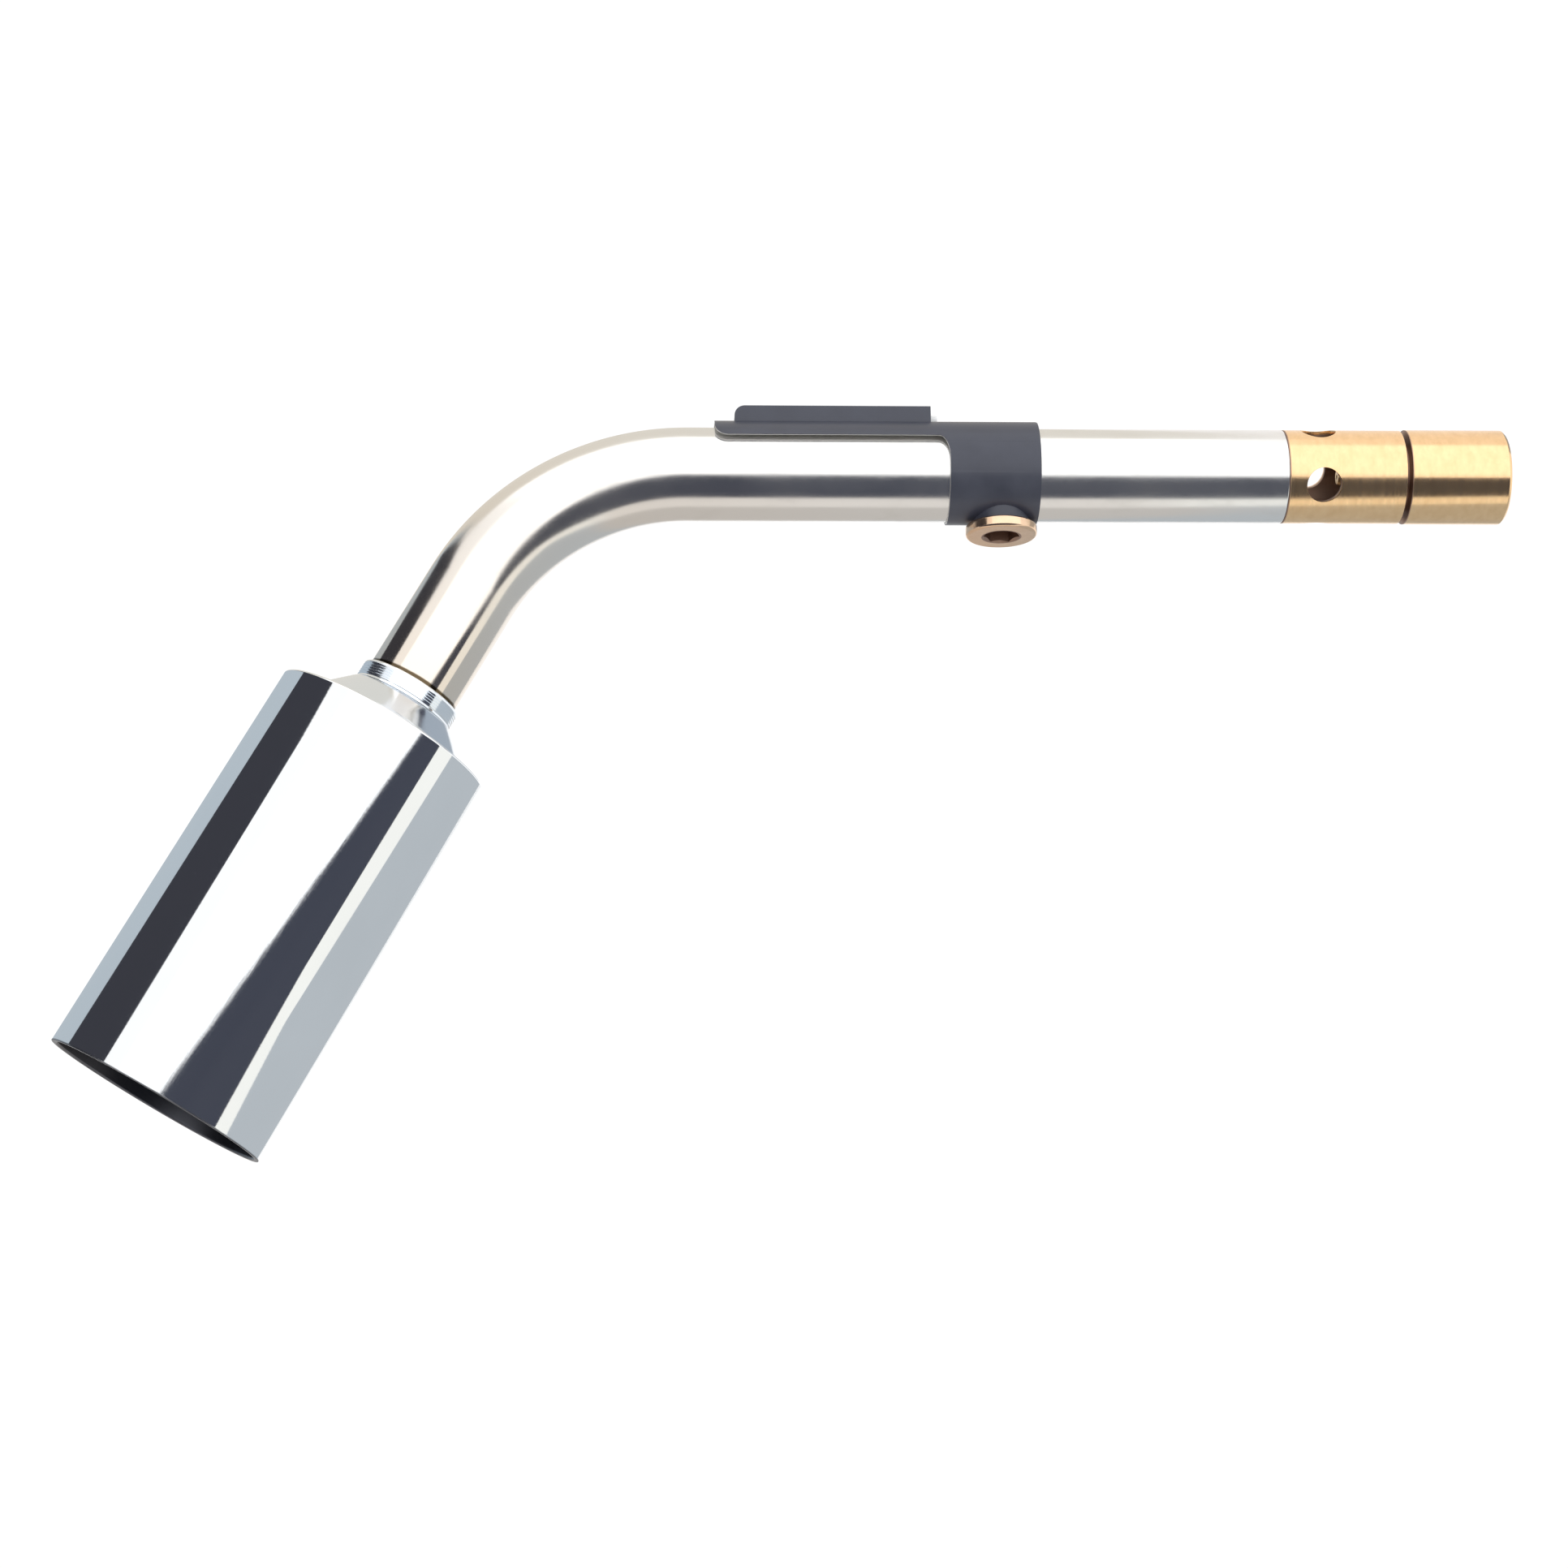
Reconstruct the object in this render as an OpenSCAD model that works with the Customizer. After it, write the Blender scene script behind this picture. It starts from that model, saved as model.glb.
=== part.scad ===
// Soft-flame bell burner on a bent steel tube, with a brass air chamber, a
// swivelling coupling for the torch's neck, and a clamped clip that slides on
// the tube. Everything is in millimetres.
//
// The origin is the centre of the coupling's mouth. The straight tube lies
// along X, the mouth faces +X, and the tube bends down in the XZ plane.
// Places on the straight tube are x values. Places past the bend are s
// values, counted along the bell's axis from where the bend ends.

/* [Tube] */
// Outer diameter of the steel tube
tube_d = 16; // [14:0.1:20]
// Wall of the steel tube
tube_wall = 1; // [0.8:0.1:1.5]
// Straight run from the air chamber to the bend
tube_run = 102.2; // [90:0.1:140]
// Radius of the bend, at the tube's axis
bend_r = 42.2; // [32:0.1:60]
// Angle that the bend turns through
bend_angle = 60; // [30:1:80]
// Straight run from the bend to the hub's collar
tube_tail = 19.5; // [10:0.1:40]
// How far the tail's outer and inner faces are drawn into the tube's wall
tail_draw = 0.04; // [0.02:0.01:0.1]

/* [Bell] */
// Outer diameter of the bell
bell_d = 38.5; // [36:0.1:50]
// Length of the bell
bell_len = 71.2; // [50:0.1:100]
// Wall of the bell
bell_wall = 1; // [0.8:0.1:1.5]
// Width of the lip that is turned in at the bell's rear
bell_lip = 2.6; // [1.8:0.1:3]
// Chamfer on the bell's two outer edges
bell_chamfer = 0.4; // [0.2:0.05:0.5]

/* [Hub] */
// Wall of the collar around the tube
collar_wall = 0.9; // [0.7:0.1:1.5]
// Length of the collar
collar_len = 3.2; // [2.4:0.1:6]
// Length of the cone under the collar
cone_len = 5.8; // [4:0.1:8]
// Gap between the cone's foot and the bell's lip
lip_gap = 1.95; // [0.5:0.05:3]
// Thickness of the flange that closes the bell
flange_t = 2; // [1.5:0.1:4]
// Depth that the tube goes into the hub
tube_seat = 8; // [5:0.1:9]

/* [Flame holder] */
// Bore of the nozzle
nozzle_bore = 9; // [6:0.1:10]
// Wall of the nozzle's threaded shank
nozzle_wall = 1.5; // [1.2:0.1:2]
// Height of the nozzle's foot on the hub
nozzle_foot = 6.5; // [4:0.1:10]
// Thickness of the perforated disc
disc_t = 1.2; // [0.8:0.1:2]
// Gap between the disc's edge and the bell
disc_gap = 0.5; // [0.3:0.1:1]
// Diameter of each flame hole
flame_hole_d = 2.4; // [1.6:0.1:2.8]
// Flame holes in the disc's inner ring
inner_holes = 12; // [6:1:14]
// Flame holes in the disc's outer ring
outer_holes = 18; // [8:1:22]
// Height of the nut that holds the disc
nut_h = 3.5; // [2.5:0.1:5]

/* [Air chamber] */
// Visible length of the air chamber
chamber_len = 20.2; // [19:0.1:30]
// Wall of the air chamber around the mixing space
chamber_wall = 1.4; // [1:0.1:1.8]
// Diameter of the air holes
air_hole_d = 6; // [4:0.1:7]
// Number of air holes
air_holes = 4; // [2:1:5]
// From the chamber's front shoulder to the middle of the air holes
air_hole_inset = 6; // [4:0.1:6.5]
// Turn of the first air hole below the near side
air_hole_turn = 30; // [0:1:89]
// Length of the chamber's spigot inside the tube
spigot_len = 10; // [6:0.1:16]
// Wall of that spigot
spigot_wall = 1.2; // [0.8:0.1:2]

/* [Coupling] */
// Wall of the coupling around the neck thread
coupling_wall = 1.65; // [1.4:0.05:3]
// Length of the coupling, from its mouth to the swivel gap
coupling_len = 17.2; // [16.5:0.1:24]
// Diameter of the neck thread's core
neck_core_d = 12.9; // [11:0.1:16]
// Depth of the neck thread
neck_thread_len = 9; // [7:0.1:9.5]
// Chamfer around the coupling's mouth
mouth_chamfer = 0.5; // [0.3:0.1:0.7]
// Chamfer on the edges beside the swivel gap
gap_chamfer = 0.2; // [0.1:0.05:0.3]

/* [Swivel] */
// Open gap between the coupling and the air chamber
swivel_gap = 0.9; // [0.5:0.1:1.4]
// Wall of the air chamber around the swivel spigot
swivel_wall = 2.15; // [1.8:0.05:2.6]
// Length of the swivel spigot
swivel_len = 8; // [7.5:0.1:9]
// Width of the retaining ring
ring_w = 0.9; // [0.7:0.1:1]
// Section of the seal
seal_d = 0.9; // [0.7:0.1:1]

/* [Jet] */
// Diameter of the jet's thread
jet_d = 5.9; // [5:0.1:6.5]
// Diameter of the jet's orifice
orifice_d = 0.9; // [0.5:0.1:1.5]
// Height of the jet's hexagon
jet_hex_h = 2; // [1.5:0.1:2.5]
// Thickness of the jet's seal
jet_seal_t = 0.8; // [0.5:0.1:1]
// Length of the jet's tip in front of the swivel spigot
jet_tip = 3.4; // [2:0.1:4]

/* [Clip] */
// Length of the band around the tube
band_len = 15.4; // [14:0.1:24]
// Thickness of the clip's sheet
sheet_t = 0.45; // [0.4:0.05:0.6]
// Height of the band's middle above the tube's axis
band_lift = 0.35; // [0.2:0.05:0.5]
// From the air chamber to the band
band_station = 42.5; // [30:0.1:44]
// Length of the tongue in front of the band
tongue_len = 39.7; // [34:0.1:44]
// Half of the angle that the tongue wraps around the tube
tongue_wrap = 60; // [50:1:70]
// Length of the rib pressed up from the tongue
rib_len = 33.6; // [24:0.1:36]
// From the band to the open end of the rib
rib_inset = 2.7; // [2.4:0.1:4]
// Outer width of the rib
rib_w = 7; // [6:0.1:8]
// Height of the rib's top above the tube's surface
rib_h = 3.3; // [3:0.1:4]
// Radius of the rib's rounded front end
rib_round = 1.75; // [1:0.05:2]
// Radius of the hollow where the rib rises from the tongue
rib_foot = 0.9; // [0.5:0.1:1.2]
// Outer diameter of the insulating liner in the rib
liner_d = 2.2; // [1.8:0.1:2.3]
// Bore of the liner
liner_bore = 1.2; // [0.8:0.1:1.3]
// Length of liner that shows behind the rib
liner_stub = 1.3; // [0.8:0.1:1.6]

/* [Clamp screw] */
// Diameter of the screw's head
head_d = 12.2; // [11:0.1:14]
// Height of the screw's head
head_h = 2; // [1.6:0.1:3]
// Rounding of the head's outer edge
head_round = 0.6; // [0.3:0.1:0.7]
// Diameter of the screw's thread
screw_d = 8; // [7:0.1:8.2]
// Hexagon socket, across its corners
socket_d = 6.3; // [5.5:0.1:6.8]
// Depth of the socket
socket_depth = 1.9; // [1.2:0.1:2]
// Wall of the boss around the thread
boss_wall = 0.9; // [0.7:0.1:1.4]
// Height of the boss below the band
boss_h = 0.55; // [0.4:0.05:1.5]
// From the band's rear edge to the screw's axis
screw_inset = 6.2; // [6:0.1:8]
// Diameter of the soft pad at the screw's tip
pad_d = 5; // [4:0.1:5.6]
// Thickness of the pad
pad_t = 0.6; // [0.4:0.05:0.7]

/* [Fits] */
// Radial clearance of parts that slide or turn on each other
running = 0.05; // [0.03:0.01:0.08]
// Radial clearance of parts that are screwed, brazed or pressed in
seated = 0.02; // [0.01:0.01:0.04]

/* [Hidden] */
$fn = 96;
over = 1;

// Stations along the straight tube, from the mouth at x = 0 forward to -x
coupling_front = -coupling_len;
chamber_back = coupling_front - swivel_gap;
chamber_front = chamber_back - chamber_len;
bend_x = chamber_front - tube_run;
swivel_front = coupling_front - swivel_len;
band_back = chamber_front - band_station;
band_front = band_back - band_len;
tongue_tip = band_front - tongue_len;
rib_back = band_front - rib_inset;
rib_front = rib_back - rib_len;
screw_x = band_back - screw_inset;

// Tube and air chamber
tube_r = tube_d / 2;
tube_bore_r = tube_r - tube_wall;
tail_r = tube_r - tail_draw;
tail_lap = 0.5;
spigot_r = tube_bore_r - seated;
spigot_bore_r = spigot_r - spigot_wall;
mix_r = tube_r - chamber_wall;
swivel_bore_r = tube_r - swivel_wall;
swivel_r = swivel_bore_r - running;
// Solid length of the chamber around the swivel spigot
swivel_land = swivel_len - swivel_gap + 0.2;

// Retaining ring and seal of the swivel
ring_x = coupling_front - 3;
seal_x = coupling_front - 5.8;
ring_in = swivel_r - 0.6;
ring_out = swivel_r + 0.5;
seal_ring_r = swivel_bore_r - running / 2 - seal_d / 2;
groove_play = 0.1;

// Jet
jet_wall_x = -neck_thread_len - 4;
jet_r = jet_d / 2;
jet_back = jet_wall_x + jet_seal_t + jet_hex_h;
jet_front = swivel_front - jet_tip;
jet_hex_d = jet_d + 3.4;
filter_r = 1.7;
filter_len = 1.5;

// Stations along the bell's axis, from the end of the bend
collar_s = tube_tail;
cone_s = collar_s + collar_len;
bell_s = cone_s + cone_len;
flange_s = bell_s + bell_wall + seated;
hub_end_s = flange_s + flange_t;
disc_s = hub_end_s + nozzle_foot;
nut_s = disc_s + disc_t;
nozzle_end_s = nut_s + nut_h + 0.8;
bell_end_s = bell_s + bell_len;
bell_r = bell_d / 2;
bell_in_r = bell_r - bell_wall;
collar_r = tube_r + collar_wall;
lip_r = bell_r - bell_lip;
cone_r = lip_r - lip_gap;
seat_end_s = collar_s + tube_seat;
nozzle_r = nozzle_bore / 2 + nozzle_wall;
disc_r = bell_in_r - disc_gap;
nut_d = 2 * nozzle_r + 5;
// The two rings of holes share the rim between the nut and the disc's edge
rim_w = disc_r - nut_d / 2;
inner_ring_r = disc_r - 0.75 * rim_w;
outer_ring_r = disc_r - 0.25 * rim_w;

// Clip
band_in_r = tube_r + band_lift + running;
band_r = band_in_r + sheet_t;
tongue_z = band_lift + band_in_r * cos(tongue_wrap);
rib_top = tube_r + rib_h;
slot_len = rib_inset - 1.4;
liner_z = rib_top - sheet_t - liner_d / 2 - running;
liner_len = rib_len - rib_round - 1;

// Clamp screw, counted down from the tube's axis
pad_top = -tube_r - 0.03;
boss_face = -(band_r - band_lift) - boss_h;
head_top = boss_face - seated;
head_face = head_top - head_h;
boss_r = screw_d / 2 + running + boss_wall;
screw_tip = pad_top - 0.1;
pad_floor = pad_top - pad_t - seated;

// A round bar along X, from x0 to x1
module bar_x(x0, x1, r) translate([x0, 0, 0]) rotate([0, 90, 0]) cylinder(h = x1 - x0, r = r);

// A piece turned about the X axis. Each point is [radius, x].
module turned_x(points) rotate([0, 90, 0]) rotate_extrude() polygon(points);

// Puts a child that points along +Z on the bell's axis, s past the bend
module on_bell_axis(s = 0) {
    translate([bend_x - bend_r * sin(bend_angle), 0, -bend_r * (1 - cos(bend_angle))])
        rotate([0, -90 - bend_angle, 0]) translate([0, 0, s]) children();
}

// Section of the tube's wall, with both faces drawn in by a given amount
module tube_section(draw = 0) difference() {
    circle(r = tube_r - draw);
    circle(r = tube_bore_r + draw);
}

module coupling_socket() color("goldenrod") {
    core_r = neck_core_d / 2;
    out_r = core_r + coupling_wall;
    relief_r = core_r + 0.4;
    difference() {
        turned_x([
            [jet_r + running, jet_wall_x],
            [relief_r, jet_wall_x],
            [relief_r, -neck_thread_len],
            [core_r, -neck_thread_len],
            [core_r, 0],
            [out_r - mouth_chamfer, 0],
            [out_r, -mouth_chamfer],
            [out_r, coupling_front + gap_chamfer],
            [out_r - gap_chamfer, coupling_front],
            [swivel_r, coupling_front],
            [swivel_r, swivel_front],
            [jet_r + running, swivel_front]
        ]);
        ring_cut(ring_x, ring_in - running, swivel_r + over, ring_w + groove_play);
        ring_cut(seal_x, seal_ring_r - seal_d / 2 - running, swivel_r + over, seal_d + 2 * groove_play);
    }
}

// A square groove about X, centred on x, from radius r0 out to r1
module ring_cut(x, r0, r1, w) turned_x([[r0, x - w / 2], [r1, x - w / 2], [r1, x + w / 2], [r0, x + w / 2]]);

module jet() color("darkgoldenrod") difference() {
    union() {
        translate([jet_back - jet_hex_h, 0, 0]) rotate([0, 90, 0]) cylinder(h = jet_hex_h, d = jet_hex_d, $fn = 6);
        turned_x([
            [0, jet_back - jet_hex_h],
            [jet_r, jet_back - jet_hex_h],
            [jet_r, swivel_front],
            [jet_r - 0.7, swivel_front - 0.4],
            [orifice_d / 2 + 0.8, jet_front],
            [0, jet_front]
        ]);
    }
    bar_x(jet_front - over, jet_back + over, orifice_d / 2);
    bar_x(jet_back - 2 * filter_len, jet_back + over, filter_r + running);
}

module jet_seal() color("peru") difference() {
    bar_x(jet_wall_x, jet_wall_x + jet_seal_t, jet_hex_d / 2);
    bar_x(jet_wall_x - over, jet_wall_x + jet_seal_t + over, jet_r + running);
}

module jet_filter() color("silver") bar_x(jet_back - 2 * filter_len, jet_back - filter_len, filter_r);

// A snap ring with the gap that lets it spring into its groove
module swivel_ring() color("dimgray") difference() {
    ring_cut(ring_x, ring_in, ring_out, ring_w);
    translate([ring_x - ring_w, -1, 0]) cube([2 * ring_w, 2, ring_out + over]);
}

module swivel_seal() color("black") translate([seal_x, 0, 0]) rotate([0, 90, 0])
    rotate_extrude() translate([seal_ring_r, 0]) circle(d = seal_d);

module air_chamber() color("goldenrod") difference() {
    turned_x([
        [swivel_bore_r, chamber_back],
        [tube_r - gap_chamfer, chamber_back],
        [tube_r, chamber_back - gap_chamfer],
        [tube_r, chamber_front],
        [spigot_r, chamber_front],
        [spigot_r, chamber_front - spigot_len],
        [spigot_bore_r, chamber_front - spigot_len],
        [spigot_bore_r, chamber_front],
        [mix_r, chamber_front],
        [mix_r, chamber_back - swivel_land],
        [swivel_bore_r, chamber_back - swivel_land]
    ]);
    ring_cut(ring_x, swivel_bore_r - running, ring_out + 2 * running, ring_w + 2 * groove_play);
    for (i = [0 : air_holes - 1])
        translate([chamber_front + air_hole_inset, 0, 0])
            rotate([90 + air_hole_turn - i * 360 / air_holes, 0, 0]) cylinder(h = tube_r + over, d = air_hole_d);
}

module burner_tube() color("lightsteelblue") {
    translate([bend_x, 0, 0]) rotate([0, 90, 0]) rotate([0, 0, 180])
        linear_extrude(height = tube_run) tube_section();
    translate([bend_x, 0, -bend_r]) rotate([90, 0, 0]) rotate([0, 0, 90])
        rotate_extrude(angle = bend_angle) translate([bend_r, 0]) tube_section();
    on_bell_axis(-tail_lap) linear_extrude(height = tail_lap + seat_end_s) tube_section(tail_draw);
}

module burner_hub() color("gainsboro") on_bell_axis() difference() {
    rotate_extrude() polygon([
        [0, collar_s],
        [collar_r - 0.3, collar_s],
        [collar_r, collar_s + 0.3],
        [collar_r, cone_s],
        [cone_r, bell_s],
        [cone_r, flange_s],
        [bell_in_r - seated, flange_s],
        [bell_in_r - seated, hub_end_s],
        [0, hub_end_s]
    ]);
    translate([0, 0, collar_s - over]) cylinder(h = tube_seat + over, r = tail_r + seated);
    translate([0, 0, collar_s]) cylinder(h = hub_end_s - collar_s + over, r = nozzle_r + seated);
}

module burner_bell() color("gainsboro") on_bell_axis() rotate_extrude() polygon([
    [lip_r, bell_s],
    [bell_r - bell_chamfer, bell_s],
    [bell_r, bell_s + bell_chamfer],
    [bell_r, bell_end_s - bell_chamfer],
    [bell_r - bell_chamfer, bell_end_s],
    [bell_in_r, bell_end_s],
    [bell_in_r, bell_s + bell_wall],
    [lip_r, bell_s + bell_wall]
]);

module flame_nozzle() color("darkgoldenrod") on_bell_axis() difference() {
    rotate_extrude() polygon([
        [0, seat_end_s + seated],
        [nozzle_r, seat_end_s + seated],
        [nozzle_r, hub_end_s],
        [nozzle_r + 2, hub_end_s],
        [nozzle_r + 2, disc_s],
        [nozzle_r, disc_s],
        [nozzle_r, nozzle_end_s - 0.5],
        [nozzle_r - 0.5, nozzle_end_s],
        [0, nozzle_end_s]
    ]);
    cylinder(h = nozzle_end_s + over, d = nozzle_bore);
}

// A ring of flame holes about the bell's axis
module hole_ring(count, r) for (i = [0 : count - 1])
    rotate([0, 0, i * 360 / count]) translate([r, 0, -over]) cylinder(h = disc_t + 2 * over, d = flame_hole_d);

module flame_disc() color("slategray") on_bell_axis(disc_s) difference() {
    cylinder(h = disc_t, r = disc_r);
    translate([0, 0, -over]) cylinder(h = disc_t + 2 * over, r = nozzle_r + running);
    hole_ring(inner_holes, inner_ring_r);
    hole_ring(outer_holes, outer_ring_r);
}

module disc_nut() color("darkgoldenrod") on_bell_axis(nut_s) difference() {
    cylinder(h = nut_h, d = nut_d, $fn = 6);
    translate([0, 0, -over]) cylinder(h = nut_h + 2 * over, r = nozzle_r + running);
}

// Points of a quarter ellipse, from angle a0 to a1, about a centre
function arc_points(c, rx, rz, a0, a1, steps = 10) =
    [for (i = [0 : steps]) let (a = a0 + (a1 - a0) * i / steps) [c[0] + rx * cos(a), c[1] + rz * sin(a)]];

// Side view of the clip's sheet, as [x, z]: band, tongue, and the round
// corners between them and at their ends
module clip_side_view() {
    top = rib_top + over;
    low = -band_r - over;
    corner_x = 1.8;
    corner_z = 4.4;
    tip_r = 2.2;
    back_r = 1.4;
    band_top = band_lift + band_r;
    polygon(concat(
        [[band_front, low], [band_back, low]],
        arc_points([band_back - back_r, band_top - back_r], back_r, back_r, 0, 80, 8),
        [[band_back - 2 * back_r, top], [tongue_tip, top]],
        arc_points([tongue_tip + tip_r, tongue_z + tip_r], tip_r, tip_r, 180, 270, 8),
        arc_points([band_front - corner_x, tongue_z - corner_z], corner_x, corner_z, 90, 0)
    ));
}

// A flat side view, given as [x, z], turned upright and made w wide along Y
module across_y(w) translate([0, w / 2, 0]) rotate([90, 0, 0]) linear_extrude(height = w) children();

// The rib as a solid bar with a round front end, smaller all round by cut
module rib_bar(cut, back) {
    top = rib_top - cut;
    front = rib_front + cut;
    round_r = rib_round - cut;
    w = rib_w - 2 * cut;
    across_y(w) union() {
        translate([front + round_r, 0]) square([back - front - round_r, top]);
        translate([front, 0]) square([back - front, top - round_r]);
        translate([front + round_r, top - round_r]) circle(r = round_r);
    }
}

// The concave strips where the rib's two sides rise from the tongue
module rib_feet() {
    foot_z = band_lift + sqrt(band_r * band_r - pow(rib_w / 2, 2));
    for (side = [-1, 1]) difference() {
        translate([rib_front + rib_round, side * (rib_w + rib_foot) / 2 - rib_foot / 2, foot_z - 1])
            cube([rib_len - rib_round, rib_foot, 1 + rib_foot]);
        translate([0, side * (rib_w / 2 + rib_foot), foot_z + rib_foot - 0.1]) bar_x(rib_front, rib_back + over, rib_foot);
    }
}

module clip_band() color("dimgray") difference() {
    union() {
        intersection() {
            translate([0, 0, band_lift]) bar_x(tongue_tip, band_back, band_r);
            across_y(3 * band_r) clip_side_view();
        }
        rib_bar(0, rib_back);
        rib_feet();
    }
    translate([0, 0, band_lift]) bar_x(tongue_tip - over, band_back + over, band_in_r);
    rib_bar(sheet_t, rib_back + slot_len);
    translate([screw_x, 0, -band_r - over]) cylinder(h = band_r, r = screw_d / 2 + running);
}

module clip_boss() color("dimgray") difference() {
    translate([screw_x, 0, boss_face]) cylinder(h = band_r, r = boss_r);
    translate([0, 0, band_lift]) bar_x(band_front, band_back, band_r + seated);
    translate([screw_x, 0, boss_face - over]) cylinder(h = band_r, r = screw_d / 2 + running);
}

module lead_liner() color("white") translate([0, 0, liner_z]) difference() {
    bar_x(rib_back + liner_stub - liner_len, rib_back + liner_stub, liner_d / 2);
    bar_x(rib_back + liner_stub - liner_len - over, rib_back + liner_stub + over, liner_bore / 2);
}

module clamp_pad() color("white") translate([screw_x, 0, pad_top - pad_t]) cylinder(h = pad_t, d = pad_d);

module clamp_screw() color("gold") translate([screw_x, 0, 0]) difference() {
    union() {
        translate([0, 0, head_face]) rotate_extrude() union() {
            square([head_d / 2 - head_round, head_h]);
            translate([0, head_round]) square([head_d / 2, head_h - head_round]);
            translate([head_d / 2 - head_round, head_round]) circle(r = head_round);
        }
        translate([0, 0, head_top - seated]) cylinder(h = screw_tip - head_top + seated, d = screw_d);
    }
    translate([0, 0, pad_floor]) cylinder(h = tube_r, d = pad_d + 2 * running);
    translate([0, 0, head_face - over]) cylinder(h = socket_depth + over, d = socket_d, $fn = 6);
}

coupling_socket();
jet();
jet_seal();
jet_filter();
swivel_ring();
swivel_seal();
air_chamber();
burner_tube();
burner_hub();
burner_bell();
flame_nozzle();
flame_disc();
disc_nut();
clip_band();
clip_boss();
lead_liner();
clamp_pad();
clamp_screw();
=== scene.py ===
# %% [markdown]
# # A soft-flame bell burner, piece by piece
# The burner is a bent steel tube. A chromed bell sits on its lower end and two turned
# brass pieces on its other end, and a black sprung clip slides along its straight part.
# A CAD model gives the place, the size and the motion of each piece. This lesson makes
# the pieces that are seen, one after another, and gives each of them its finish.

# %% Load the CAD model as a fixed frame
import bpy
import bmesh
import math
from mathutils import Matrix, Vector


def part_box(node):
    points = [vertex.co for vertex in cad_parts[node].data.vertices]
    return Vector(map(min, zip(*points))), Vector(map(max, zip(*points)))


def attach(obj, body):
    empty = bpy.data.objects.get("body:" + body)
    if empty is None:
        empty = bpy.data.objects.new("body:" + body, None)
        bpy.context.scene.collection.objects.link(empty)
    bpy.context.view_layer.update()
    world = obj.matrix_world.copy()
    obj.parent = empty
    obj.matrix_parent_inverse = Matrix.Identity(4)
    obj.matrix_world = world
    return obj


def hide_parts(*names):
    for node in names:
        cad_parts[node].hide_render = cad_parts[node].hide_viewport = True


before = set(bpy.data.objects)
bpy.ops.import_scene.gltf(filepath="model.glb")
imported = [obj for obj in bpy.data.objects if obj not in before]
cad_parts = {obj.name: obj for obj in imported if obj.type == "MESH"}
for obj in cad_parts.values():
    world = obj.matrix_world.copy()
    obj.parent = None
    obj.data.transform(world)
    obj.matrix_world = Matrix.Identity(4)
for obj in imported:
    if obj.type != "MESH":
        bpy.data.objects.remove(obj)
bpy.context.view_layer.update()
MM = 0.001
print("CAD nodes:", sorted(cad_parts))


# %% [markdown]
# ## Helpers for drawing, turning and cutting
# Most of these pieces come off a lathe, so the first helpers do what a lathe does. An
# outline is drawn point by point with the extrude operator, and spin turns it once round
# the Z axis. The finished shape is then stood on its real axis, and its place is applied
# to the mesh, so that the object itself stays at the origin.

# %% Draw, turn and place
def clear_selection():
    bpy.ops.object.select_all(action="DESELECT")


def only(piece):
    clear_selection()
    piece.select_set(True)
    bpy.context.view_layer.objects.active = piece


def draw_outline(name, points, closed=True):
    """Draws (x, z) points in mm as a line of edges and stays in edit mode."""
    clear_selection()
    bpy.ops.mesh.primitive_plane_add(size=MM)
    piece = bpy.context.object
    piece.name = name
    piece.data.name = name
    bpy.ops.object.mode_set(mode="EDIT")
    bpy.ops.mesh.merge(type="CENTER")
    x, z = points[0]
    bpy.ops.transform.translate(value=(x * MM, 0, z * MM))
    for px, pz in points[1:]:
        step = ((px - x) * MM, 0, (pz - z) * MM)
        bpy.ops.mesh.extrude_region_move(TRANSFORM_OT_translate={"value": step})
        x, z = px, pz
    if closed:
        shape = bmesh.from_edit_mesh(piece.data)
        shape.verts.ensure_lookup_table()
        for v in shape.verts:
            v.select = v.index in (0, len(shape.verts) - 1)
        shape.select_flush_mode()
        bmesh.update_edit_mesh(piece.data)
        bpy.ops.mesh.edge_face_add()
    return piece


def tidy_mesh():
    """Welds doubles and turns all faces outward, in edit mode."""
    bpy.ops.mesh.select_all(action="SELECT")
    bpy.ops.mesh.remove_doubles(threshold=0.002 * MM)
    bpy.ops.mesh.select_all(action="SELECT")
    bpy.ops.mesh.normals_make_consistent(inside=False)
    bpy.ops.object.mode_set(mode="OBJECT")


def turn(name, points, steps=128):
    """Turns a closed outline of (radius, height) points in mm about the Z axis."""
    piece = draw_outline(name, points)
    bpy.ops.mesh.select_all(action="SELECT")
    bpy.ops.mesh.spin(steps=steps, angle=math.tau, use_auto_merge=True, center=(0, 0, 0),
                      axis=(0, 0, 1))
    tidy_mesh()
    return piece


def push_out(name, points, width):
    """Pushes a closed outline of (x, z) points out along Y, half of the width each way."""
    piece = draw_outline(name, points)
    bpy.ops.mesh.select_all(action="SELECT")
    bpy.ops.mesh.edge_face_add()
    bpy.ops.mesh.select_all(action="SELECT")
    bpy.ops.transform.translate(value=(0, -width / 2 * MM, 0))
    bpy.ops.mesh.extrude_region_move(TRANSFORM_OT_translate={"value": (0, width * MM, 0)})
    tidy_mesh()
    return piece


def rod(radius, length, place, rotation=(0, 0, 0), vertices=96):
    """A round bar, or a bar with a few flat sides, about its middle; lengths in mm."""
    clear_selection()
    bpy.ops.mesh.primitive_cylinder_add(vertices=vertices, radius=radius * MM, depth=length * MM,
                                        location=[c * MM for c in place], rotation=rotation)
    bpy.ops.object.transform_apply(location=True, rotation=True, scale=True)
    return bpy.context.object


def join(pieces):
    """Joins several tools into one, so that they cut together."""
    for piece in pieces:
        piece.select_set(True)
    bpy.ops.object.join()
    return bpy.context.object


def stand_on(piece, axis):
    """Moves a piece from its bench to its real axis and applies the place to its mesh."""
    only(piece)
    piece.matrix_world = axis
    bpy.ops.object.transform_apply(location=True, rotation=True, scale=True)


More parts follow.
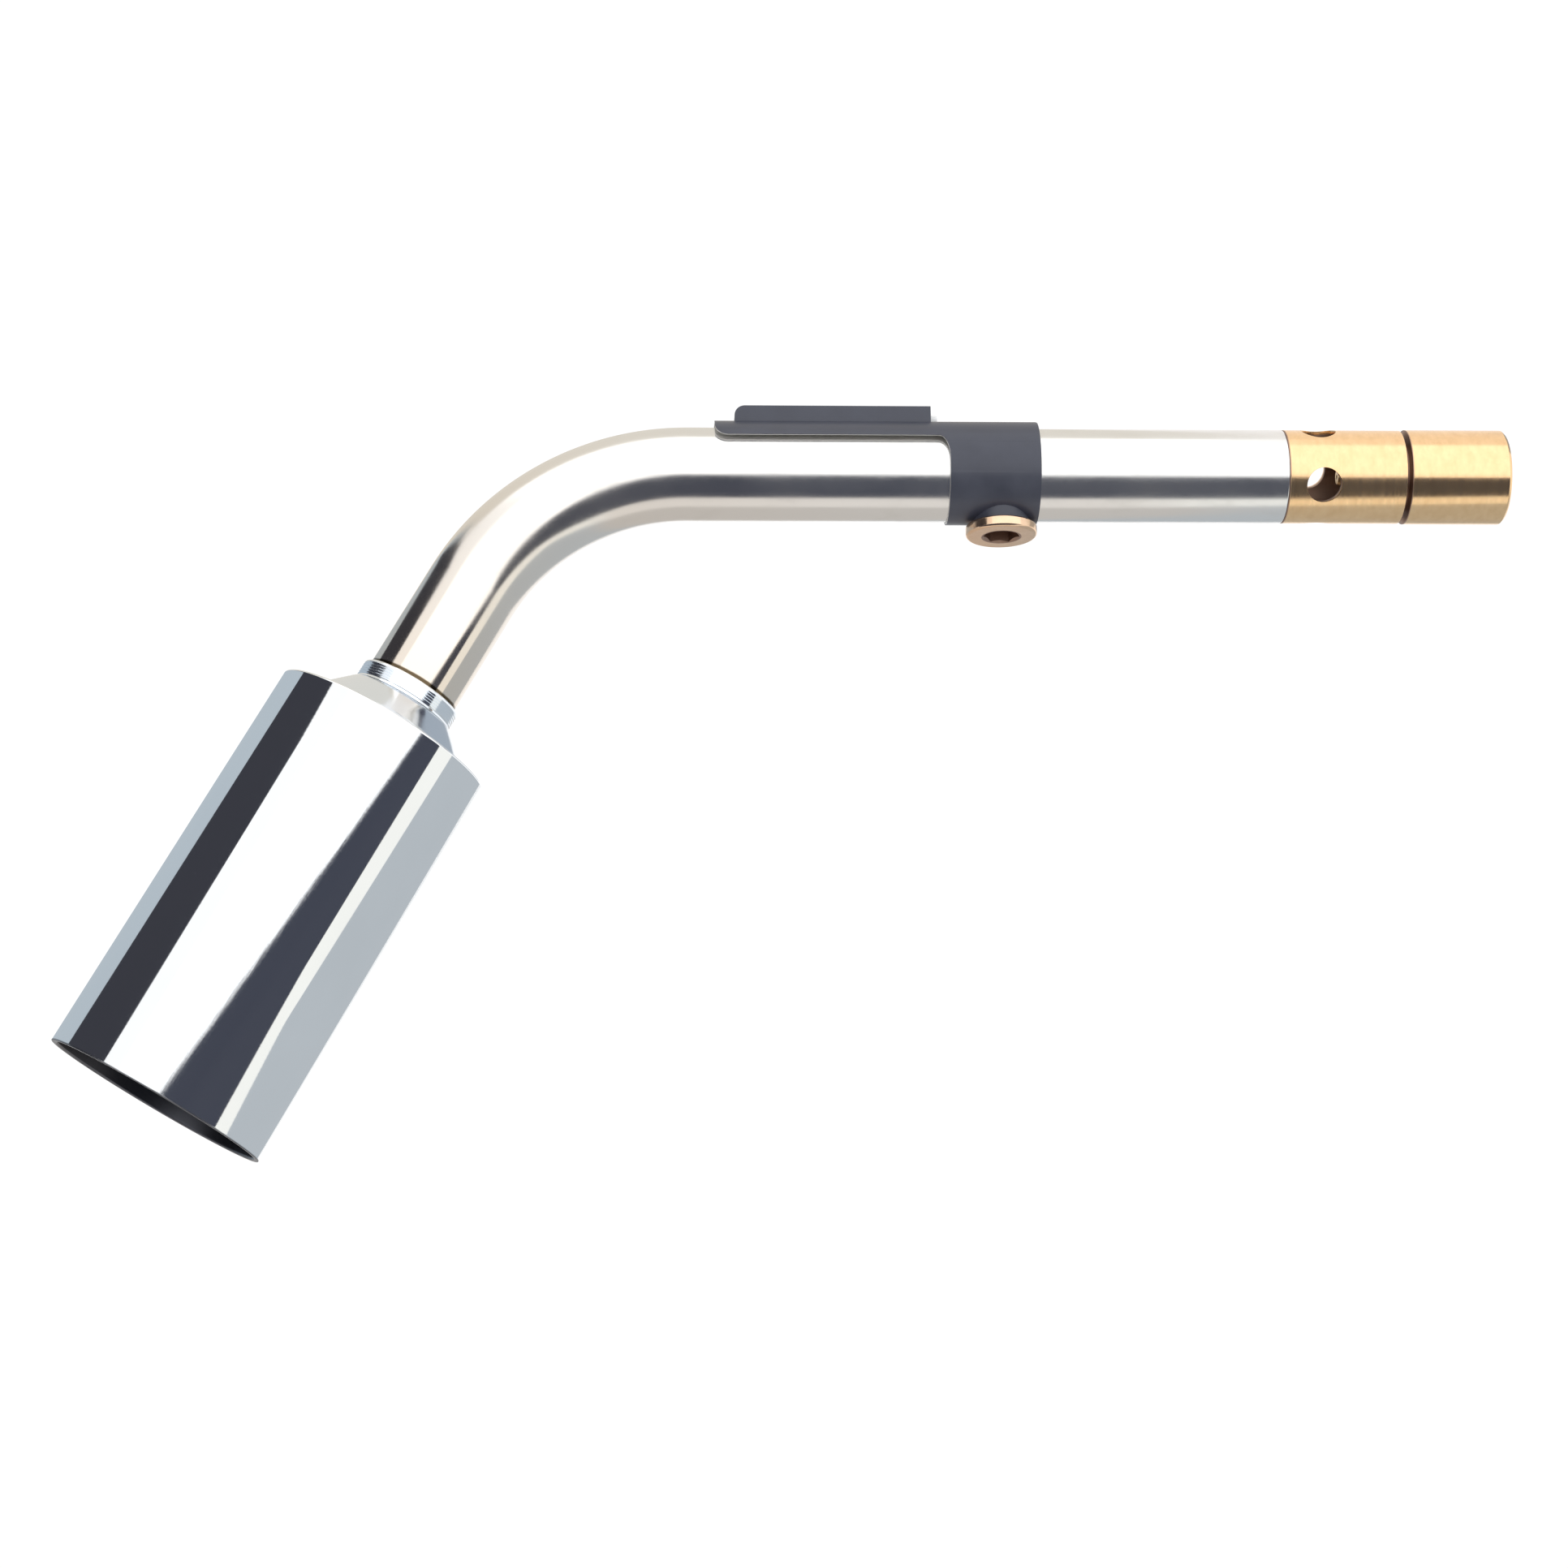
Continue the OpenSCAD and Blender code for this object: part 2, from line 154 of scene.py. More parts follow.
def axis_frame(origin, x, y, z):
    """A frame with its origin in mm, and the three directions of its axes."""
    turned = Matrix((x, y, z)).transposed().to_4x4()
    turned.translation = Vector(origin) * MM
    return turned


def use(piece, kind, **settings):
    """Adds one modifier, sets it and applies it."""
    only(piece)
    modifier = piece.modifiers.new(kind.lower(), kind)
    for key, value in settings.items():
        setattr(modifier, key, value)
    bpy.ops.object.modifier_apply(modifier=modifier.name)


def cut(piece, tool, how="DIFFERENCE"):
    """Cuts a piece with a tool, or joins the two, and clears the tool away."""
    use(piece, "BOOLEAN", object=tool, operation=how, solver="EXACT")
    bpy.data.objects.remove(tool)


def break_edges(piece, width, angle=30, segments=3):
    """Rounds every edge sharper than the angle, by a width in mm."""
    use(piece, "BEVEL", width=width * MM, segments=segments, limit_method="ANGLE",
        angle_limit=math.radians(angle), use_clamp_overlap=True, miter_outer="MITER_ARC")


def smooth(piece, angle=32):
    """Shades the skin smooth, with normals that follow the large faces past each bevel."""
    only(piece)
    bpy.ops.object.shade_smooth_by_angle(angle=math.radians(angle))
    use(piece, "WEIGHTED_NORMAL", mode="FACE_AREA", weight=100, keep_sharp=True)


def settle(piece, body, nodes, finish, angle=32):
    """Smooths a finished piece, gives it its material and hands it to its CAD body."""
    smooth(piece, angle)
    piece.data.materials.clear()
    piece.data.materials.append(finish)
    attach(piece, body)
    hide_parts(*nodes)
    low = [min(v.co[i] for v in piece.data.vertices) / MM for i in range(3)]
    high = [max(v.co[i] for v in piece.data.vertices) / MM for i in range(3)]
    print(piece.name, len(piece.data.polygons), "faces, from",
          [round(a, 2) for a in low], "to", [round(a, 2) for a in high], "mm")


# %% [markdown]
# ## The axes of the burner
# The straight tube lies along X. The tube then bends down through 60 degrees, and the
# bell stands on the line where the bend ends. The CAD boxes give the stations, so a
# frame is worked out once for each axis and every turned piece is stood on one of them.
# The clip's band is a little wider than the tube, so its axis lies slightly above.

# %% Stations and axes
TUBE_R = 8.0
TUBE_WALL = 1.0
TUBE_RUN = 102.2
BEND_R = 42.2
BEND = math.radians(60)
tube_low, tube_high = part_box("burner_tube")
TUBE_END = tube_high.x / MM
BEND_X = TUBE_END - TUBE_RUN
ALONG_TUBE = axis_frame((0, 0, 0), (0, 0, -1), (0, 1, 0), (1, 0, 0))
BELL_START = (BEND_X - BEND_R * math.sin(BEND), 0, -BEND_R * (1 - math.cos(BEND)))
ALONG_BELL = axis_frame(BELL_START, (-math.sin(BEND), 0, math.cos(BEND)), (0, 1, 0),
                        (-math.cos(BEND), 0, -math.sin(BEND)))
screw_low, screw_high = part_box("clamp_screw")
SCREW_X = (screw_low.x + screw_high.x) / 2 / MM
SCREW_AXIS = axis_frame((SCREW_X, 0, 0), (1, 0, 0), (0, 1, 0), (0, 0, 1))
CLIP_LIFT = 0.35
CLIP_AXIS = axis_frame((0, 0, CLIP_LIFT), (0, 1, 0), (0, 0, 1), (1, 0, 0))
print("the tube starts at", round(TUBE_END, 2), "and bends at", round(BEND_X, 2), "mm")
print("the screw is at", round(SCREW_X, 2), "mm")


# %% [markdown]
# ## Materials
# Every finish here is a Principled shader with a little disorder in it. Turned metal has
# fine rings about its axis, polished tube has hair scratches along it, and satin paint has
# a fine grain. Each pattern reads Object coordinates through a Mapping node, which lays the
# piece's own axis along Z. A small Bump node then bends the light as the marks do.

# %% A finish with rings, scratches and soft blotches
def graph(name):
    """A new material with its nodes, its links and its Principled shader."""
    finish = bpy.data.materials.new(name)
    finish.use_nodes = True
    tree = finish.node_tree
    return finish, tree.nodes, tree.links, tree.nodes["Principled BSDF"]


def bench_coordinates(nodes, links, axis):
    """Object coordinates, turned and moved so that the piece's axis lies along Z."""
    place = nodes.new("ShaderNodeTexCoord")
    bench = nodes.new("ShaderNodeMapping")
    back = axis.inverted()
    bench.inputs["Location"].default_value = back.translation
    bench.inputs["Rotation"].default_value = back.to_euler()
    links.new(place.outputs["Object"], bench.inputs["Vector"])
    return bench.outputs["Vector"]


def stretched_noise(nodes, links, where, stretch, detail=2.0, rough=0.5, offset=(0, 0, 0)):
    """Noise whose grain is as long as 1 / stretch along each axis, in metres."""
    reach = nodes.new("ShaderNodeMapping")
    reach.inputs["Scale"].default_value = stretch
    reach.inputs["Location"].default_value = offset
    grain = nodes.new("ShaderNodeTexNoise")
    grain.inputs["Scale"].default_value = 1.0
    grain.inputs["Detail"].default_value = detail
    grain.inputs["Roughness"].default_value = rough
    links.new(where, reach.inputs["Vector"])
    links.new(reach.outputs["Vector"], grain.inputs["Vector"])
    return grain.outputs["Fac"]


def spread(nodes, links, value, low, high, to_low, to_high):
    """Maps a value from one range to another and holds it there."""
    ranged = nodes.new("ShaderNodeMapRange")
    ranged.inputs["From Min"].default_value = low
    ranged.inputs["From Max"].default_value = high
    ranged.inputs["To Min"].default_value = to_low
    ranged.inputs["To Max"].default_value = to_high
    links.new(value, ranged.inputs["Value"])
    return ranged.outputs["Result"]


def arithmetic(nodes, links, kind, a, b):
    """One Math node. Each of a and b is a socket or a number."""
    step = nodes.new("ShaderNodeMath")
    step.operation = kind
    for slot, value in ((0, a), (1, b)):
        if isinstance(value, (int, float)):
            step.inputs[slot].default_value = value
        else:
            links.new(value, step.inputs[slot])
    return step.outputs["Value"]


def blend_colours(nodes, links, amount, first, second):
    """Mixes two colours. Each is a socket or a plain RGB."""
    mix = nodes.new("ShaderNodeMix")
    mix.data_type = "RGBA"
    links.new(amount, mix.inputs[0])
    for slot, value in ((6, first), (7, second)):
        if isinstance(value, tuple):
            mix.inputs[slot].default_value = (*value, 1)
        else:
            links.new(value, mix.inputs[slot])
    return mix.outputs[2]


def raise_marks(nodes, links, shader, height, depth, below=None):
    """Bends the light over marks that are depth mm deep."""
    bump = nodes.new("ShaderNodeBump")
    bump.inputs["Strength"].default_value = 1.0
    bump.inputs["Distance"].default_value = depth * MM
    links.new(height, bump.inputs["Height"])
    if below is not None:
        links.new(below, bump.inputs["Normal"])
    links.new(bump.outputs["Normal"], shader.inputs["Normal"])
    return bump.outputs["Normal"]


def bench_radius(nodes, links, where):
    """The distance from the bench's Z axis, in metres, and the height along it."""
    parts = nodes.new("ShaderNodeSeparateXYZ")
    links.new(where, parts.inputs["Vector"])
    square_x = arithmetic(nodes, links, "MULTIPLY", parts.outputs["X"], parts.outputs["X"])
    square_y = arithmetic(nodes, links, "MULTIPLY", parts.outputs["Y"], parts.outputs["Y"])
    both = arithmetic(nodes, links, "ADD", square_x, square_y)
    return arithmetic(nodes, links, "SQRT", both, 0.0), parts.outputs["Z"]


# %% [markdown]
# Turned brass keeps the rings of the tool, and its colour shifts a little where it has
# been handled. Long flat noise about the axis makes the rings, and round noise makes the
# handling marks. Painted shade browns the bore, where shade falls inside, and a brown line marks the
# seam where two pieces meet.

# %% Turned brass
BRASS = (0.96, 0.66, 0.37)
BROWN_BRASS = (0.72, 0.5, 0.24)
SCREW_BRASS = (0.87, 0.62, 0.43)
# A brown used as painted shade inside bores, and for the dark line at a seam
BORE_SHADE_AND_SEAM_BROWN = (0.38, 0.25, 0.19)


def turned_brass(name, axis, colour, ring_depth, rough, mottle, bore, seam):
    """Turned brass, browned by painted shade inside the bore radius, and with a brown line along a
    seam's height, in mm.
    """
    finish, nodes, links, shader = graph(name)
    where = bench_coordinates(nodes, links, axis)
    rings = stretched_noise(nodes, links, where, (60, 60, 5200), detail=3)
    cloud = stretched_noise(nodes, links, where, (420, 420, 700), detail=4, rough=0.6)
    pale = tuple(min(1.0, c * 1.04) for c in colour)
    deep = tuple(c * k for c, k in zip(colour, (0.9, 0.84, 0.76)))
    amount = spread(nodes, links, cloud, 0.35, 0.72, 0, mottle)
    clean = blend_colours(nodes, links, amount, pale, deep)
    radius, height = bench_radius(nodes, links, where)
    # Inside the bore radius the brass is browned as painted shade; along the seam a brown line marks
    # the joint
    inside = spread(nodes, links, radius, (bore - 0.12) * MM, bore * MM, 1, 0)
    past = arithmetic(nodes, links, "SUBTRACT", height, seam * MM)
    gap = arithmetic(nodes, links, "ABSOLUTE", past, 0.0)
    line = spread(nodes, links, gap, 0.12 * MM, 0.3 * MM, 1, 0)
    bore_shade_and_seam = arithmetic(nodes, links, "MAXIMUM", inside, line)
    links.new(blend_colours(nodes, links, bore_shade_and_seam, clean, BORE_SHADE_AND_SEAM_BROWN), shader.inputs["Base Color"])
    tone = spread(nodes, links, rings, 0.3, 0.7, rough * 0.85, rough * 1.2)
    tone = arithmetic(nodes, links, "ADD", tone, arithmetic(nodes, links, "MULTIPLY", bore_shade_and_seam, 0.25))
    links.new(tone, shader.inputs["Roughness"])
    shader.inputs["Metallic"].default_value = 1.0
    level = raise_marks(nodes, links, shader, rings, ring_depth)
    raise_marks(nodes, links, shader, cloud, ring_depth * 1.5, level)
    return finish


COUPLING_SEAM = -17.25
NOZZLE_END = 43.4
chamber_brass = turned_brass("turned_chamber_brass", ALONG_TUBE, BRASS, 0.0011, 0.2, 0.6,
                             bore=7.5, seam=TUBE_END)
coupling_brass = turned_brass("turned_coupling_brass", ALONG_TUBE, BRASS, 0.0010, 0.17, 0.6,
                              bore=7.4, seam=COUPLING_SEAM)
inner_brass = turned_brass("turned_inner_brass", ALONG_BELL, BROWN_BRASS, 0.003, 0.3, 0.8,
                           bore=0.5, seam=NOZZLE_END)
screw_brass = turned_brass("polished_screw_brass", SCREW_AXIS, SCREW_BRASS, 0.0008, 0.16, 0.5,
                           bore=3.5, seam=0.0)
print("brass finishes ready")


# %% [markdown]
# Chrome is close to a mirror, so what is seen is mostly the studio. The plate is still
# never quite flat: a very fine waviness frays the edges of the dark reflections. The
# bell's inside and its front edge, and the hub's bore, get a darker colour and a duller finish:
# painted shade in the hollows and a painted dark reflection on the rim.

# %% Bright chrome
def bright_chrome(name, axis, ring_depth, gloss, plating, shaded_span, shade_colour):
    """Chrome, with painted shade inward over two radii and forward over two heights, in mm."""
    finish, nodes, links, shader = graph(name)
    where = bench_coordinates(nodes, links, axis)
    ripple = stretched_noise(nodes, links, where, (260, 260, 2100), detail=4, rough=0.65)
    haze = stretched_noise(nodes, links, where, (90, 90, 60), detail=3)
    radius, height = bench_radius(nodes, links, where)
    in_radius, out_radius, in_height, out_height = shaded_span
    # Inside the radii and past the heights the chrome is painted dark: painted shade in the hollow,
    # painted dark reflection on the rim
    bore = spread(nodes, links, radius, in_radius * MM, out_radius * MM, 1, 0)
    end = spread(nodes, links, height, in_height * MM, out_height * MM, 0, 1)
    painted_shade = arithmetic(nodes, links, "MAXIMUM", bore, end)
    blotches = spread(nodes, links, haze, 0.3, 0.7, 0, 1)
    plate = blend_colours(nodes, links, blotches, plating, tuple(0.97 * c for c in plating))
    shaded_chrome = blend_colours(nodes, links, blotches, shade_colour, tuple(0.6 * c for c in shade_colour))
    links.new(blend_colours(nodes, links, painted_shade, plate, shaded_chrome), shader.inputs["Base Color"])
    shader.inputs["Metallic"].default_value = 1.0
    tone = spread(nodes, links, haze, 0.3, 0.8, gloss, gloss * 2)
    tone = arithmetic(nodes, links, "ADD", tone, arithmetic(nodes, links, "MULTIPLY", painted_shade, 0.3))
    links.new(tone, shader.inputs["Roughness"])
    raise_marks(nodes, links, shader, ripple, ring_depth)
    return finish


# The second colour of each pair is painted shade, for the bell's hollow and rim and the hub's bore
BELL_PLATE = (0.955, 0.975, 0.99)
BELL_PAINTED_SHADE = (0.17, 0.175, 0.20)
HUB_PLATE = (0.87, 0.92, 0.97)
HUB_PAINTED_SHADE = (0.42, 0.40, 0.36)
bell_chrome = bright_chrome("bright_bell_chrome", ALONG_BELL, 0.0016, 0.035, BELL_PLATE,
                            (18.6, 18.8, 99.4, 99.62), BELL_PAINTED_SHADE)
hub_chrome = bright_chrome("bright_hub_chrome", ALONG_BELL, 0.002, 0.09, HUB_PLATE,
                           (8.2, 8.4, 33.0, 34.0), HUB_PAINTED_SHADE)
print("chrome finishes ready")


# %% [markdown]
# The tube is stainless steel, polished by hand along its length. It has hair scratches,
# faint stains, and a straw tint where the bell's heat reaches it. It is shinier below the
# bend, and a thin brown braze line runs round it at the hub. The stations are heights on
# the bell's axis, in mm.

# %% Polished tube and heat-darkened steel
STRAW_FROM = -45
STRAW_TO = 20
SHINE_FROM = -10
SHINE_TO = 12
BRAZE_FROM = 18.7
BRAZE_TO = 18.95
CLEAN_STEEL = (0.90, 0.895, 0.88)
STRAW_STEEL = (0.86, 0.77, 0.67)
DULL_STEEL = (0.70, 0.67, 0.62)
BRAZE_BROWN = (0.13, 0.095, 0.055)


def polished_steel(name):
    """Steel with hair scratches along the tube, straw and a braze line near the bell."""
    finish, nodes, links, shader = graph(name)
    where = bench_coordinates(nodes, links, ALONG_TUBE)
    on_bell = bench_coordinates(nodes, links, ALONG_BELL)
    hair = stretched_noise(nodes, links, where, (2600, 2600, 55), detail=2)
    around = stretched_noise(nodes, links, where, (90, 90, 1500), detail=3)
    stain = stretched_noise(nodes, links, where, (120, 120, 70), detail=5, rough=0.65)
    parts = nodes.new("ShaderNodeSeparateXYZ")
    links.new(on_bell, parts.inputs["Vector"])
    station = parts.outputs["Z"]
    heat = spread(nodes, links, station, STRAW_FROM * MM, STRAW_TO * MM, 0, 1)
    straw = blend_colours(nodes, links, heat, CLEAN_STEEL, STRAW_STEEL)
    dull = spread(nodes, links, stain, 0.52, 0.8, 0, 0.4)
    steel = blend_colours(nodes, links, dull, straw, DULL_STEEL)
    wavy = spread(nodes, links, stain, 0.3, 0.7, -0.12 * MM, 0.12 * MM)
    to_collar = arithmetic(nodes, links, "ADD", station, wavy)
    braze = spread(nodes, links, to_collar, BRAZE_FROM * MM, BRAZE_TO * MM, 0, 1)
    links.new(blend_colours(nodes, links, braze, steel, BRAZE_BROWN), shader.inputs["Base Color"])
    shader.inputs["Metallic"].default_value = 1.0
    soft = spread(nodes, links, stain, 0.3, 0.8, 0.17, 0.28)
    shinier = spread(nodes, links, station, SHINE_FROM * MM, SHINE_TO * MM, 1.0, 0.45)
    links.new(arithmetic(nodes, links, "MULTIPLY", soft, shinier), shader.inputs["Roughness"])
    level = raise_marks(nodes, links, shader, hair, 0.0004)
    raise_marks(nodes, links, shader, around, 0.0007, level)
    return finish


def burnt_steel(name, axis, pale, dark, rough):
    """Dull metal, mottled between two colours, with a fine grain."""
    finish, nodes, links, shader = graph(name)
    where = bench_coordinates(nodes, links, axis)
    scale = stretched_noise(nodes, links, where, (320, 320, 320), detail=5, rough=0.7)
    fine = stretched_noise(nodes, links, where, (2200, 2200, 2200), detail=2)
    amount = spread(nodes, links, scale, 0.35, 0.65, 0, 1)
    links.new(blend_colours(nodes, links, amount, pale, dark), shader.inputs["Base Color"])
    shader.inputs["Metallic"].default_value = 1.0
    tone = spread(nodes, links, scale, 0.3, 0.7, rough, rough + 0.2)
    links.new(tone, shader.inputs["Roughness"])
    raise_marks(nodes, links, shader, fine, 0.006)
    return finish


polished_tube = polished_steel("polished_tube_steel")
heat_steel = burnt_steel("heat_darkened_steel", ALONG_BELL,
                         (0.40, 0.36, 0.34), (0.16, 0.14, 0.15), 0.35)
spring_steel = burnt_steel("phosphated_spring_steel", ALONG_TUBE,
                           (0.3, 0.3, 0.31), (0.14, 0.14, 0.15), 0.4)
filter_bronze = burnt_steel("sintered_bronze", ALONG_TUBE, (0.5, 0.36, 0.2), (0.3, 0.2, 0.1), 0.5)
print("steel finishes ready")


# %% [markdown]
# Paint, rubber, fibre and plastic aren't metals. They share one recipe: two close
# colours in soft patches, a roughness that varies with them, and a fine grain. Inside a
# radius about the clip's own axis, the clip's faces are painted pale grey: painted light in the
# shaded gap between the clip and the tube.

# %% Painted, moulded and pressed finishes
# A pale grey for the clip's inner faces: painted light in the shaded gap between the clip and the
# tube
GAP_LIGHT_GREY = (0.72, 0.71, 0.69)
GAP_LIGHT_RADIUS = 8.62


def plain_finish(name, colour, other, rough, grain_size, grain_depth, coat=0.0, axis=ALONG_TUBE,
                 gap_light_below=-1.0):
    """A soft two-colour finish; inside a given radius in mm it is painted pale grey, as painted
    light.
    """
    finish, nodes, links, shader = graph(name)
    where = bench_coordinates(nodes, links, ALONG_TUBE)
    patches = stretched_noise(nodes, links, where, (190, 190, 190), detail=4)
    grain = stretched_noise(nodes, links, where, (grain_size, grain_size, grain_size), detail=2)
    amount = spread(nodes, links, patches, 0.3, 0.7, 0, 1)
    paint = blend_colours(nodes, links, amount, colour, other)
    radius = bench_radius(nodes, links, bench_coordinates(nodes, links, axis))[0]
    # Inside the radius the faces are painted pale grey, as painted light where the gap under the
    # clip is in shade
    inside = spread(nodes, links, radius, (gap_light_below - 0.03) * MM, (gap_light_below + 0.03) * MM, 1, 0)
    links.new(blend_colours(nodes, links, inside, paint, GAP_LIGHT_GREY), shader.inputs["Base Color"])
    tone = spread(nodes, links, patches, 0.3, 0.7, rough * 0.9, rough * 1.15)
    links.new(tone, shader.inputs["Roughness"])
    shader.inputs["Coat Weight"].default_value = coat
    shader.inputs["Coat Roughness"].default_value = 0.25
    raise_marks(nodes, links, shader, grain, grain_depth)
    return finish


clip_black = plain_finish("satin_black_paint", (0.030, 0.034, 0.054), (0.040, 0.045, 0.068),
                          0.42, 4200, 0.004, 0.25, CLIP_AXIS, GAP_LIGHT_RADIUS)
fibre_seal = plain_finish("pressed_red_fibre", (0.42, 0.17, 0.10), (0.30, 0.12, 0.07),
                          0.7, 2500, 0.02)
seal_rubber = plain_finish("black_seal_rubber", (0.02, 0.02, 0.021), (0.03, 0.03, 0.03),
                           0.5, 2500, 0.003)
liner_white = plain_finish("white_liner_plastic", (0.86, 0.87, 0.87), (0.78, 0.80, 0.82),
                           0.3, 1800, 0.002)
pad_nylon = plain_finish("natural_nylon", (0.82, 0.80, 0.72), (0.74, 0.72, 0.64),
                         0.4, 1800, 0.003)
print("painted and moulded finishes ready")


# %% [markdown]
# ## The camera and the studio
# The camera stands a little below the tube and looks up at it with a long lens. The
# studio is a white room. Bright metal shows only what is around it, so large cards are
# hung where their reflections are wanted: dark ones for the black bands along the chrome
# and the tube, and cream, grey and beige ones for the bands between them. The camera
# doesn't see the cards, and only the two bright ones light the pieces.

# %% Camera
view = bpy.data.cameras.new("studio_camera")
view.lens = 74.53
view.sensor_width = 36.0
view.clip_start = 0.01
view.clip_end = 50.0
camera = bpy.data.objects.new("studio_camera", view)
bpy.context.scene.collection.objects.link(camera)
RIGHT = Vector((0.99889, -0.04545, -0.01225))
FORWARD = Vector((0.04707, 0.96702, 0.25032))
UP = RIGHT.cross(FORWARD)
stance = Matrix((RIGHT, UP, -FORWARD)).transposed().to_4x4()
stance.translation = Vector((-0.150174, -0.523735, -0.190188))
camera.matrix_world = stance
bpy.context.scene.camera = camera
print("camera at", [round(a, 3) for a in stance.translation])


# %% Room, floor and cards
bpy.context.scene.view_settings.view_transform = "Standard"
room = bpy.data.worlds.new("white_room")
room.use_nodes = True
room.node_tree.nodes["Background"].inputs["Color"].default_value = (1.0, 1.0, 1.0, 1)
room.node_tree.nodes["Background"].inputs["Strength"].default_value = 1.05
bpy.context.scene.world = room

clear_selection()
bpy.ops.mesh.primitive_plane_add(size=8, location=(-0.12, 0, -0.25))
floor = bpy.context.object
floor.name = "studio_floor"
paper, nodes, links, shader = graph("pale_paper")
shader.inputs["Base Color"].default_value = (0.86, 0.86, 0.86, 1)
shader.inputs["Roughness"].default_value = 0.7
floor.data.materials.append(paper)


def card(name, corners, colour, strength=1.0, lights=False):
    """A glowing card with four corners in metres; only one that lights adds any light."""
    clear_selection()
    bpy.ops.mesh.primitive_plane_add(size=1)
    sheet = bpy.context.object
    sheet.name = name
    order = (0, 1, 3, 2)
    for index, corner in zip(order, corners):
        sheet.data.vertices[index].co = corner
    glow = bpy.data.materials.new(name)
    glow.use_nodes = True
    glow.node_tree.nodes.clear()
    lamp = glow.node_tree.nodes.new("ShaderNodeEmission")
    lamp.inputs["Color"].default_value = (*colour, 1)
    lamp.inputs["Strength"].default_value = strength
    end = glow.node_tree.nodes.new("ShaderNodeOutputMaterial")
    glow.node_tree.links.new(lamp.outputs["Emission"], end.inputs["Surface"])
    sheet.data.materials.append(glow)
    sheet.visible_camera = False
    sheet.visible_shadow = False
    sheet.visible_diffuse = lights
    return sheet


def level(z, *spots):
    """Corners of a level card at one height, from (x, y) spots in metres."""
    return [(x, y, z) for x, y in spots]


DARK = (0.055, 0.060, 0.082)
BLACK = (0.043, 0.044, 0.055)
WHITE = (1.0, 1.0, 1.0)
CREAM = (0.95, 0.945, 0.90)
COOL_GREY = (0.47, 0.505, 0.535)
WARM_GREY = (0.56, 0.53, 0.50)
PALE_GREY = (0.78, 0.74, 0.70)
BLUE_GREY = (0.46, 0.52, 0.57)
BEIGE = (0.76, 0.72, 0.65)
WARM_WHITE = (0.98, 0.95, 0.93)
SHADE = (0.05, 0.05, 0.07)
BLUE_SHADE = (0.38, 0.42, 0.47)
SOFTBOX = 1.45
LOW = -0.235
LOWER = -0.238
LOWER_LEFT = -0.239
LOWEST = -0.242
HIGH = 0.8


def frayed_card(name, corners, dark, bright, strength, edge, fray):
    """A dark card, bright above a ragged edge; edge is its height in metres."""
    sheet = card(name, corners, dark)
    nodes = sheet.data.materials[0].node_tree.nodes
    links = sheet.data.materials[0].node_tree.links
    place = nodes.new("ShaderNodeTexCoord")
    parts = nodes.new("ShaderNodeSeparateXYZ")
    links.new(place.outputs["Object"], parts.inputs["Vector"])
    rag = stretched_noise(nodes, links, place.outputs["Object"], (520, 40, 160), detail=5,
                          rough=0.75)
    shift = spread(nodes, links, rag, 0.3, 0.7, -fray, fray)
    height = arithmetic(nodes, links, "ADD", parts.outputs["Z"], shift)
    amount = spread(nodes, links, height, edge - 0.004, edge + 0.004, 0, 1)
    lamp = nodes["Emission"]
    lamp.inputs["Strength"].default_value = 1.0
    top = tuple(c * strength for c in bright)
    links.new(blend_colours(nodes, links, amount, dark, top), lamp.inputs["Color"])


# Below and in front: dark up to the height of the horizon, with a frayed top edge
frayed_card("dark_front", [(-0.9, -0.35, LOW), (0.56, -0.35, LOW),
                           (0.56, -0.35, -0.095), (-0.9, -0.35, -0.095)],
            DARK, WHITE, SOFTBOX, edge=-0.124, fray=0.022)
card("dark_below_left", level(LOW, (-0.9, -0.35), (0.0, -0.35), (0.0, -0.06), (-0.9, -0.022)), DARK)
card("dark_below_mid", level(LOW, (0.0, -0.35), (0.15, -0.35), (0.15, -0.17), (0.0, -0.06)), DARK)
card("dark_below_right", level(LOW, (0.15, -0.35), (0.56, -0.35), (0.42, -0.28), (0.15, -0.17)),
     DARK)
# Just under them: a cream strip on the right, a pale one on the left, then greys further back
card("cream_strip", level(LOWER, (-0.02, -0.36), (0.11, -0.36), (0.11, -0.065), (-0.02, 0.045)),
     CREAM)
card("cream_strip_right", level(LOWER, (0.11, -0.36), (1.2, -0.70), (1.2, -0.07), (0.11, -0.065)),
     CREAM)
card("pale_strip", level(LOWER_LEFT, (-1.4, -0.05), (-0.02, -0.10), (-0.02, 0.06), (-1.4, 0.06)),
     PALE_GREY)
card("warm_behind", level(LOWEST, (-1.4, -0.1), (0.0, -0.1), (0.0, 1.8), (-1.4, 1.8)), WARM_GREY)
card("cool_behind", level(LOWEST, (0.0, -0.1), (1.6, -0.1), (1.6, 1.8), (0.0, 1.8)), COOL_GREY)
# To the left: a black card, cut on a slant, and a blue-grey one behind it
card("black_left", [(-0.8, -0.62, -0.2), (-0.8, 0.15, -0.2),
                    (-0.8, 0.19, 0.49), (-0.8, -0.53, 0.49)], BLACK)
card("black_left_top", [(-0.8, -0.53, 0.49), (-0.8, 0.19, 0.49),
                        (-0.8, 0.75, 0.72), (-0.8, -0.02, 0.72)], BLACK)
card("blue_left", [(-0.82, 0.12, -0.2), (-0.82, 2.0, -0.2),
                   (-0.82, 2.0, 1.2), (-0.82, 0.12, 1.2)], BLUE_GREY)
